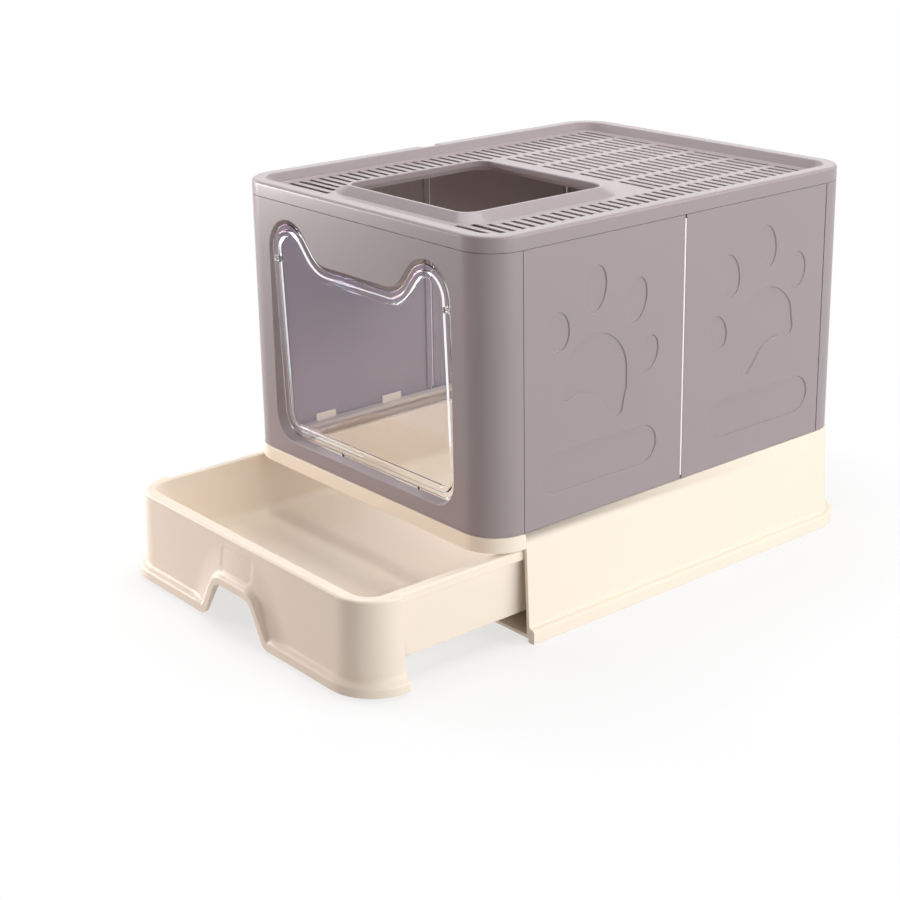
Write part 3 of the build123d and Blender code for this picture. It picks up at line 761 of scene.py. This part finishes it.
class LITTERBOX_OT_base(bpy.types.Operator):
    """Build the base frame with its flared walls, foot lip, ledge, floor, runners and tabs"""

    bl_idname = "litterbox.base"
    bl_label = "Base frame"

    def execute(self, context):
        skin = Skin()
        lip = sizes().lip_round / MM
        floor_top, floor_under, floor_edge, ledge_edge = 7, 4, -8, -13

        def inner(z):
            return flare(z) - BASE_WALL

        # walls: distance beyond the body, height, rounding, from the floor's top up, over and down
        wall = soften([
            (floor_edge, floor_top, 0), (inner(floor_top), floor_top, 2.5),
            (inner(LEDGE_FOOT), LEDGE_FOOT, 0), (inner(LEDGE_UNDER), LEDGE_UNDER, 1),
            (ledge_edge, LEDGE_UNDER, 0.4), (ledge_edge, BASE_SEAM, 0.5), (1, BASE_SEAM, 1.0),
            (flare(LEDGE_FOOT), LEDGE_FOOT, 0), (flare(LIP_TOP), LIP_TOP, 3.2),
            (LIP_REACH, LIP_TOP, lip), (LIP_REACH, 0, 1.0), (BASE_WALL, 0, 0.6),
            (BASE_WALL, floor_under, 0), (floor_edge, floor_under, 0)], steps=5, closed=False)
        grid = skin.sweep(end_stations(1, BASE_START), wall, closed=False)
        for end in (grid[0], grid[-1]):
            skin.fill([i for i in end if skin.points[i][2] <= LEDGE_FOOT + 0.001])
        # floor plate
        skin.fill([g[0] for g in grid])
        skin.fill([g[-1] for g in grid])
        skin.faces.append((grid[0][0], grid[-1][0], grid[-1][-1], grid[0][-1]))
        # ledge over the drawer
        ledge = soften([
            (flare(LEDGE_FOOT), LEDGE_FOOT, 1.2), (1, BASE_SEAM, 1.0), (ledge_edge, BASE_SEAM, 0.5),
            (ledge_edge, LEDGE_UNDER, 0.4), (inner(LEDGE_UNDER), LEDGE_UNDER, 1),
            (inner(LEDGE_FOOT), LEDGE_FOOT, 0.6)], steps=5)
        skin.cap(skin.sweep(end_stations(-1, BASE_START), ledge))
        # runners below the tray, tabs inside the panels, ribs below the floor
        runner_x, runner_y, runner_z = (119, 131), (-198.7, 235.5), (6.5, 22.7)
        tab_half, tab_foot, tab_head = 13, 105, 116
        for s in (-1, 1):
            skin.block(*span(s, *runner_x), *runner_y, *runner_z, edge=1.2)
            for y in (-150, -60, 60, 150):
                skin.block(*span(s, *TABS_X), y - tab_half, y + tab_half, tab_foot, tab_head)
            for t in (-1, 1):
                x = s * 100
                skin.block(x - tab_half, x + tab_half, *span(t, *TABS_Y), tab_foot, tab_head)
        rib_half, rib_top, rib_rear, rib_side = 2, 4.5, 244, 195
        for rib in (-120, 0, 120):
            skin.block(rib - rib_half, rib + rib_half, BASE_START, rib_rear, 0, rib_top, edge=0.4)
            skin.block(-rib_side, rib_side, rib - rib_half, rib + rib_half, 0, rib_top, edge=0.4)
        moulding("base_moulding", skin, "base", "base_plastic", "base_frame")
        return {"FINISHED"}


# ---------- drawer
def smooth_max(a, b, blend):
    """The larger of two values, eased where they differ by less than blend."""
    h = max(blend - abs(a - b), 0.0) / blend
    return max(a, b) + h * h * blend / 4


def front_grow(x, z):
    """How far the drawer's front stands beyond the body, without its lip: wall and bowed middle."""
    top, radius, tilt = 87.5, 303.0, math.radians(9.5)
    wall = flare(z)
    if abs(x) > BOW_HALF or z > top:
        return wall
    # along the tilted cylinder's radius the bow falls away to both sides
    fall = radius - math.sqrt(radius ** 2 - x * x)
    bow = flare(top) + (top - z) * math.tan(tilt) - fall / math.cos(tilt)
    return smooth_max(wall, bow, blend=min(2.4, 0.2 + (top - z) * 0.1))


def arch_path():
    """Lower edge of the drawer's front from left to right: foot, finger arch, foot."""
    crown_half, turn = 28, 14
    path = soften([
        (-CORNER_X, DRAWER_FOOT, 0), (-ARCH_HALF, DRAWER_FOOT, turn), (-crown_half, ARCH_CROWN, turn),
        (crown_half, ARCH_CROWN, turn), (ARCH_HALF, DRAWER_FOOT, turn), (CORNER_X, DRAWER_FOOT, 0)],
        steps=12, closed=False)
    out = [path[0]]
    for a, b in zip(path, path[1:]):
        # closer points along the crown, where the plaque's edges stand above them
        step = 1.4 if abs(a[1] - ARCH_CROWN) < 0.1 else 3.0
        pieces = max(1, round(math.dist(a, b) / step))
        out += [(a[0] + (b[0] - a[0]) * k / pieces, a[1] + (b[1] - a[1]) * k / pieces)
                for k in range(1, pieces + 1)]
    return out


def lip_runs(path):
    """For each point of the lower edge, the direction across the lip and the lip's width there."""
    arch_width, foot_width, ease = 9, LIP_TOP - DRAWER_FOOT, 18
    out = []
    for i, (x, z) in enumerate(path):
        p, q = path[max(i - 1, 0)], path[min(i + 1, len(path) - 1)]
        along = Vector((q[0] - p[0], q[1] - p[1])).normalized()
        share = smooth_step((abs(x) - ARCH_HALF) / ease)
        out.append((-along.y, along.x, arch_width + (foot_width - arch_width) * share))
    return out


class LITTERBOX_OT_drawer(bpy.types.Operator):
    """Build the litter drawer: tray, rim, bowed front, rolled lip and finger arch"""

    bl_idname = "litterbox.drawer"
    bl_label = "Litter drawer"
    corner_steps = 12

    def execute(self, context):
        skin = Skin()
        path = arch_path()
        runs = lip_runs(path)
        self.tray_and_rim(skin, path, runs)
        self.front(skin, path, runs)
        out = sizes().drawer_out / MM
        moulding("drawer_moulding", skin, "drawer", "drawer_plastic", "litter_drawer",
                 shift=(0, -out, 0), sharp=42)
        return {"FINISHED"}

    def tray_and_rim(self, skin, path, runs):
        """Closed skin from the tray's floor up its inside, over the rim and down its outside."""
        # points on the straight sides: above the front's columns, and where the front ends on the sides
        above_lip = 12 / (LIP_TOP - DRAWER_FOOT)
        at_x = [x + dx * width * above_lip for (x, z), (dx, dz, width) in zip(path, runs)][1:-1]
        at_y = (FRONT_END, FRONT_END + 0.05, -120, 0, 120)
        steps = self.corner_steps

        def ring(x0, x1, y0, y1, radius, z):
            return rounded(x0, x1, y0, y1, radius, z, steps=steps, at_x=at_x, at_y=at_y)

        # rim: half width, front, rear and corner
        half, near, far, corner = 191, -246.7, 239, 36

        def edge(inset, z, hidden=0.0):
            """Outer ring of the rim; its front part follows the drawer's front, hidden keeps it behind."""
            out = ring(-half + inset, half - inset, near + inset, far - inset, corner - inset, z)
            grow = flare(z) - inset - hidden
            body = body_ring(grow, z, steps=steps, at_x=at_x, at_y=at_y)
            last_right = steps + 1
            first_left = len(out) - len(at_x) - steps - 2
            for i, (x, y, _) in enumerate(body):
                if last_right < i < first_left:
                    continue
                if abs(x) < BOW_HALF and y < FRONT:
                    y = FRONT - (front_grow(x, z) - inset - hidden)
                out[i] = (x, y, z)
            return out

        tray_half, tray_front, tray_rear, tray_head = 184.5, -236, 235.5, 88
        side_lean, front_lean, least_corner = 2.5, 28, 4
        floor, fillet, inner_corner, outer_corner = 26, 11, 21, 24

        def tray(inset, z, radius, more=0.0):
            """Ring of the tray's sloping walls; more pulls it further in."""
            lean = (tray_head - z) / (tray_head - floor + WALL)
            side = inset + side_lean * lean + more
            ahead = inset + front_lean * lean + more
            return ring(-tray_half + side, tray_half - side, tray_front + ahead, tray_rear - side,
                        max(radius - more, least_corner), z)

        rim_top, rim_round, hem = 91, 2.6, 81
        rings = []
        for more, z in arc(fillet, floor + fillet, fillet, 270, -90, 7):
            rings.append(tray(WALL, z, inner_corner, more))
        for inset, z in ((WALL, 50), (WALL, 70), (WALL, 89.6), (2.6, 90.6), (1.6, rim_top)):
            rings.append(tray(inset, z, inner_corner))
        for inset, z in arc(rim_round, rim_top - rim_round, rim_round, 90, 90, 5):
            rings.append(edge(inset, z))
        rings.append(edge(0, 85))
        for inset, z in ((0, hem + 0.5), (0.5, hem), (2.0, hem), (2.5, hem + 0.5), (2.5, tray_head)):
            rings.append(edge(inset, z, hidden=3.6))
        for z, more in ((tray_head, 0), (60, 0), (floor, 0), (floor - 2, 0.6), (floor - WALL, 2.5)):
            rings.append(tray(0, z, outer_corner, more))
        skin.cap(skin.stack(rings))

    def front(self, skin, path, runs):
        """Front wall with its lip, which follows the finger arch."""
        # distance above the lower edge, and share of the lip's full reach
        lip = ((0.0, 0.86), (0.35, 0.96), (1.1, 1.0), (7.2, 1.0), (8.4, 0.96), (9.4, 0.87), (10.2, 0.74),
               (10.9, 0.56), (11.6, 0.38), (12.5, 0.21), (13.6, 0.09), (15.0, 0.02), (16.5, 0.0))
        rows, top, inner_top = 30, 85, 88

        def climb(z):
            return [z + (top - z) * k / rows for k in range(1, rows + 1)]

        def front_column(x0, z0, dx, dz, width):
            """Outer and inner points of a column of the front, from its lower edge up."""
            width /= LIP_TOP - DRAWER_FOOT
            levels = [(x0 + dx * d * width, z0 + dz * d * width, share) for d, share in lip]
            x1, z1, _ = levels[-1]
            levels += [(x1, z, 0.0) for z in climb(z1)]
            outer, inner = [], []
            for x, z, share in levels:
                wall = front_grow(x, z)
                grow = wall + (LIP_REACH - wall) * share - self.plaque(x, z)
                outer.append((x, FRONT - grow, z))
                inner.append((x, FRONT - wall + WALL, z))
            return outer, inner

        def end_column(side, angle, behind=0.0):
            """The same at an angle round the front's corner, or some way behind it."""
            levels = [(DRAWER_FOOT + d, share) for d, share in lip]
            levels += [(z, 0.0) for z in climb(levels[-1][0])]
            outer, inner = [], []
            for z, share in levels:
                wall = flare(z)
                for grow, points in ((wall + (LIP_REACH - wall) * share, outer), (wall - WALL, inner)):
                    reach = CORNER + grow
                    points.append((side * (CORNER_X + reach * math.cos(angle)),
                                   behind - CORNER_Y - reach * math.sin(angle), z))
            return outer, inner

        angles = [math.radians(90 * k / self.corner_steps) for k in range(self.corner_steps)]
        behind = FRONT_END + CORNER_Y
        strips = [end_column(-1, 0, behind)] + [end_column(-1, a) for a in angles]
        strips += [front_column(*place, *run) for place, run in zip(path, runs)]
        strips += [end_column(1, a) for a in reversed(angles)] + [end_column(1, 0, behind)]
        outer = skin.stack([s[0] for s in strips], closed=False)
        inner = skin.stack([s[1] + [(*s[1][-1][:2], inner_top)] for s in strips], closed=False)
        for a, b, c, d in zip(outer, outer[1:], inner, inner[1:]):
            skin.faces.append((a[0], b[0], d[0], c[0]))
        for o, i in ((outer[0], inner[0]), (outer[-1], inner[-1])):
            for k in range(len(o) - 1):
                skin.faces.append((o[k], o[k + 1], i[k + 1], i[k]))

    def plaque(self, x, z):
        """Depth of the shallow plaque, which is left bare."""
        half_width, half_height, middle, corner, depth = 21, 8, 69, 4, 0.6
        beyond = math.hypot(max(abs(x) - half_width, 0), max(abs(z - middle) - half_height, 0))
        return depth * smooth_step(corner - beyond + 0.5)


# ---------- stage
def lamp(name, place, aim, size, power, colour=(1, 1, 1), spread=180):
    """A soft rectangular lamp; a narrow spread, in degrees, keeps its light together."""
    data = bpy.data.lights.new(name, "AREA")
    data.shape = "RECTANGLE"
    data.size, data.size_y = size
    data.energy = power
    data.color = colour
    data.spread = math.radians(spread)
    obj = bpy.data.objects.new(name, data)
    obj.location = place
    obj.rotation_euler = (Vector(aim) - Vector(place)).to_track_quat("-Z", "Y").to_euler()
    bpy.context.collection.objects.link(obj)
    obj.visible_camera = False
    return obj


def glow(tree, seen, mirrored, rough):
    """Strength of a glow by the kind of ray: seen or seen through the door, mirrored, or lighting."""
    path = tree.nodes.new("ShaderNodeLightPath")
    total = 0.0
    for name, share in (("Is Camera Ray", seen), ("Is Transmission Ray", seen),
                        ("Is Glossy Ray", mirrored), ("Is Diffuse Ray", rough)):
        total = maths(tree, "MAXIMUM", total, maths(tree, "MULTIPLY", path.outputs[name], share))
    return total


def studio_floor_finish(name):
    """Pale floor that keeps the object's shadow near it and turns plain white further out."""
    m = bpy.data.materials.new(name)
    m.use_nodes = True
    tree = m.node_tree
    n, link = tree.nodes, tree.links.new
    shader = n["Principled BSDF"]
    preset(shader, {"Base Color": (0.85, 0.85, 0.85, 1), "Roughness": 0.95, "Specular IOR Level": 0.0})
    white = n.new("ShaderNodeEmission")
    preset(white, {"Color": (1, 1, 1, 1)})
    link(glow(tree, seen=1.0, mirrored=FLOOR_MIRRORED, rough=FLOOR_ROUGH), white.inputs["Strength"])
    place = n.new("ShaderNodeTexCoord")
    reach = n.new("ShaderNodeVectorMath")
    reach.operation = "LENGTH"
    link(place.outputs["Object"], reach.inputs[0])
    fade = n.new("ShaderNodeMapRange")
    fade.interpolation_type = "SMOOTHSTEP"
    preset(fade, {"From Min": 0.25, "From Max": 0.75, "To Min": 0.62})
    link(reach.outputs["Value"], fade.inputs["Value"])
    blend = n.new("ShaderNodeMixShader")
    link(fade.outputs["Result"], blend.inputs["Fac"])
    link(shader.outputs["BSDF"], blend.inputs[1])
    link(white.outputs["Emission"], blend.inputs[2])
    link(blend.outputs["Shader"], n["Material Output"].inputs["Surface"])
    return m


class LITTERBOX_OT_stage(bpy.types.Operator):
    """Set the floor, the soft studio light and the camera"""

    bl_idname = "litterbox.stage"
    bl_label = "Stage"

    def execute(self, context):
        context.scene.view_settings.view_transform = "Standard"
        self.floor(context)
        self.room(context)
        self.lamps()
        self.camera(context)
        return {"FINISHED"}

    def floor(self, context):
        half = 6
        mesh = bpy.data.meshes.new("studio_floor")
        mesh.from_pydata([(-half, -half, 0), (half, -half, 0), (half, half, 0), (-half, half, 0)],
                         [], [(0, 1, 2, 3)])
        mesh.materials.append(studio_floor_finish("studio_floor_white"))
        floor = bpy.data.objects.new("studio_floor", mesh)
        context.collection.objects.link(floor)

    def room(self, context):
        """White room that is seen and mirrored but doesn't light rough surfaces."""
        world = bpy.data.worlds.new("studio_world")
        context.scene.world = world
        world.use_nodes = True
        tree = world.node_tree
        white = tree.nodes["Background"]
        preset(white, {"Color": (1, 1, 1, 1)})
        tree.links.new(glow(tree, seen=1.0, mirrored=ROOM_MIRRORED, rough=0.0), white.inputs["Strength"])

    def lamps(self):
        """Soft boxes round the object: place, point they aim at, size and power in watts."""
        middle = (0, 0, 0.2)
        lamp("left_softbox", (-1.5, -1.0, 0.38), (0, -0.2, 0.2), (0.7, 0.6), 27.0)
        lamp("left_high_softbox", (-1.6, -0.4, 0.8), middle, (0.8, 0.8), 3.0)
        lamp("right_low_softbox", (2.1, 0.2, 0.45), middle, (1.2, 0.8), 17.0)
        lamp("right_rear_softbox", (1.8, 1.2, 1.0), middle, (1.2, 1.2), 18.0)
        lamp("right_front_softbox", (2.0, -0.5, 0.8), middle, (1, 1), 8.5)
        lamp("rear_softbox", (-1.9, 1.75, 1.45), (0, 0, 0.4), (2.6, 1.2), 7.9)
        lamp("top_softbox", (0, 0.1, 1.7), middle, (1.2, 1.2), 26.0)
        lamp("top_left_softbox", (-1.0, 0.2, 1.5), middle, (1, 1), 2.1)
        lamp("drawer_glow", (-0.15, -1.0, 0.10), (0, -0.25, 0.15), (0.5, 0.15), 0.35, colour=(1, 0.3, 0.1))
        # lights the drawer's floor behind the door; it isn't mirrored and isn't seen through the door
        inside = lamp("cabin_light", (-0.02, 0.02, 0.27), (-0.06, 0.03, 0), (0.2, 0.22), 0.28, spread=160)
        inside.visible_glossy = False
        inside.visible_transmission = False

    def camera(self, context):
        """Camera that sees the object as the photograph does."""
        place = Vector((1.30507, -1.20126, 0.7406))
        yaw, pitch, roll = 0.876856, 0.306824, 0.016275
        # in pixels of the photograph: its width, the focal length and the point straight ahead
        width, focal, centre_x, centre_y = 900, 1771.28, 461.73, 367.11
        ahead = Vector((-math.sin(yaw) * math.cos(pitch), math.cos(yaw) * math.cos(pitch), -math.sin(pitch)))
        across = Vector((math.cos(yaw), math.sin(yaw), 0))
        down = ahead.cross(across)
        right = across * math.cos(roll) + down * math.sin(roll)
        low = down * math.cos(roll) - across * math.sin(roll)
        turn = Matrix((right, -low, -ahead)).transposed().to_4x4()
        data = bpy.data.cameras.new("studio_camera")
        data.sensor_width = 36
        data.sensor_fit = "HORIZONTAL"
        data.lens = focal / width * data.sensor_width
        data.shift_x = (width / 2 - centre_x) / width
        data.shift_y = (centre_y - width / 2) / width
        camera = bpy.data.objects.new("studio_camera", data)
        camera.matrix_world = Matrix.Translation(place) @ turn
        context.collection.objects.link(camera)
        context.scene.camera = camera


# ---------- panel
class LITTERBOX_PT_panel(bpy.types.Panel):
    """Steps of the litter box build"""

    bl_idname = "LITTERBOX_PT_panel"
    bl_label = "Litter box"
    bl_space_type = "VIEW_3D"
    bl_region_type = "UI"
    bl_category = "Litter box"

    def draw(self, context):
        for group in (context.scene.litterbox_sizes, context.scene.litterbox_colours):
            for name in group.bl_rna.properties.keys():
                if name not in ("rna_type", "name"):
                    self.layout.prop(group, name)
        for step in STEPS:
            self.layout.operator(step.bl_idname)


STEPS = (
    LITTERBOX_OT_finishes,
    LITTERBOX_OT_base,
    LITTERBOX_OT_drawer,
    LITTERBOX_OT_panels,
    LITTERBOX_OT_door,
    LITTERBOX_OT_cover,
    LITTERBOX_OT_stage,
)
CLASSES = (BoxSizes, BoxColours) + STEPS + (LITTERBOX_PT_panel,)


def register():
    for cls in CLASSES:
        bpy.utils.register_class(cls)
    bpy.types.Scene.litterbox_sizes = bpy.props.PointerProperty(type=BoxSizes)
    bpy.types.Scene.litterbox_colours = bpy.props.PointerProperty(type=BoxColours)


def unregister():
    del bpy.types.Scene.litterbox_colours
    del bpy.types.Scene.litterbox_sizes
    for cls in reversed(CLASSES):
        bpy.utils.unregister_class(cls)


def main():
    register()
    bpy.ops.litterbox.finishes()
    bpy.ops.litterbox.base()
    bpy.ops.litterbox.drawer()
    bpy.ops.litterbox.panels()
    bpy.ops.litterbox.door()
    bpy.ops.litterbox.cover()
    bpy.ops.litterbox.stage()


if __name__ == "__main__":
    main()
